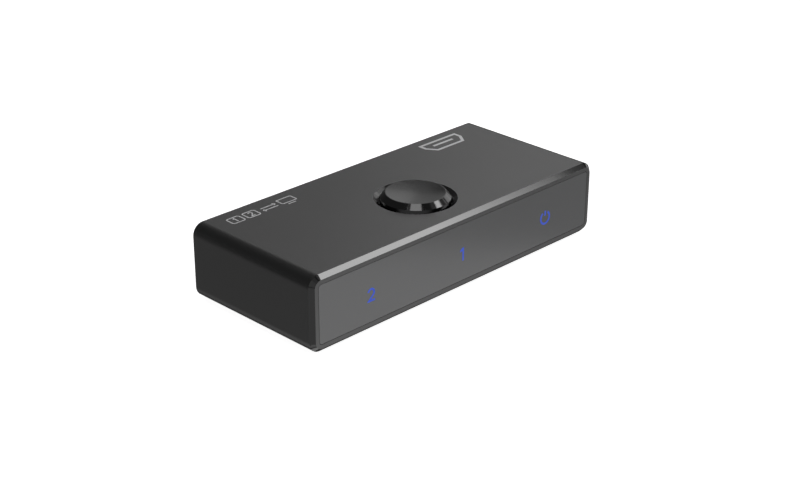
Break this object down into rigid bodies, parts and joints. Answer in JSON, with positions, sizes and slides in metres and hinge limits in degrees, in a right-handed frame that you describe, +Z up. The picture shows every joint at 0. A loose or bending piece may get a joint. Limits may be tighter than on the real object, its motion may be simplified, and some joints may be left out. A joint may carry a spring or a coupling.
{
  "type": "hdmi switch box",
  "caption": "Flat dark metal video switch box with rounded long edges, chamfered ends, a large round push button on top, lit front symbols and rear sockets.",
  "frame": {"origin": "middle of the footprint, on the surface that the feet stand on", "axes": "+X to the right as seen from the front, -Y towards the front panel, +Z up"},
  "size_m": [0.09, 0.039, 0.0199],
  "materials": {
    "dark_anodised": "satin dark grey anodised",
    "button_metal": "satin dark grey, polished bevel",
    "smoked_panel": "smoked, satin gloss",
    "rear_plate": "fine matte",
    "lit_symbol": "lit blue",
    "black_plastic": "moulded black",
    "white_plastic": "moulded natural",
    "red_plastic": "moulded red",
    "clear_plastic": "clear",
    "lamp_white": "translucent",
    "board_green": "solder mask",
    "socket_steel": "nickel plated sheet",
    "contact_gold": "gold plated",
    "chip_black": "moulded",
    "tinned_lead": "tinned",
    "coil_grey": "ferrite",
    "capacitor_tan": "ceramic",
    "dome_rubber": "silicone",
    "foot_rubber": "soft black",
    "black_screw": "blackened"
  },
  "bodies": {
    "case": {"board": "board_green", "button_guide": "white_plastic", "capacitors": "capacitor_tan", "chip_leads": "tinned_lead", "coil": "coil_grey", "control_chip": "chip_black", "crystal": "tinned_lead", "foot_front_left": "foot_rubber", "foot_front_right": "foot_rubber", "foot_rear_left": "foot_rubber", "foot_rear_right": "foot_rubber", "front_frame": "black_plastic", "front_panel": "smoked_panel", "hdmi_contacts_1": "contact_gold", "hdmi_contacts_2": "contact_gold", "hdmi_contacts_3": "contact_gold", "hdmi_shell_1": "socket_steel", "hdmi_shell_2": "socket_steel", "hdmi_shell_3": "socket_steel", "hdmi_tongue_1": "black_plastic", "hdmi_tongue_2": "black_plastic", "hdmi_tongue_3": "black_plastic", "icon_one": "lit_symbol", "icon_power": "lit_symbol", "icon_two": "lit_symbol", "inlet_contacts": "contact_gold", "inlet_shell": "socket_steel", "inlet_tongue": "black_plastic", "led_one": "lamp_white", "led_power": "lamp_white", "led_two": "lamp_white", "light_guide_one": "clear_plastic", "light_guide_power": "clear_plastic", "light_guide_two": "clear_plastic", "rear_panel": "rear_plate", "rear_screws": "black_screw", "regulator": "chip_black", "resistors": "chip_black", "sleeve": "dark_anodised", "surge_arrays": "chip_black", "switch_chip": "chip_black", "tact_base": "black_plastic", "tact_cover": "socket_steel", "tact_dome": "dome_rubber", "tact_leads": "tinned_lead"},
    "button": {"button_cap": "button_metal", "button_carrier": "black_plastic"},
    "switch_plunger": {"tact_plunger": "red_plastic"}
  },
  "joints": [
    {"name": "button_press", "type": "slide", "parent": "case", "child": "button", "axis": [0, 0, -1], "range_m": [0, 0.0008], "stiffness_N_per_m": 2000, "springref_m": -0.00025},
    {"name": "plunger_press", "type": "slide", "parent": "case", "child": "switch_plunger", "axis": [0, 0, -1], "range_m": [0, 0.0008], "deforming": ["tact_dome"]}
  ],
  "couplings": [
    {"joint": "plunger_press", "follows": "button_press", "ratio": 1}
  ]
}
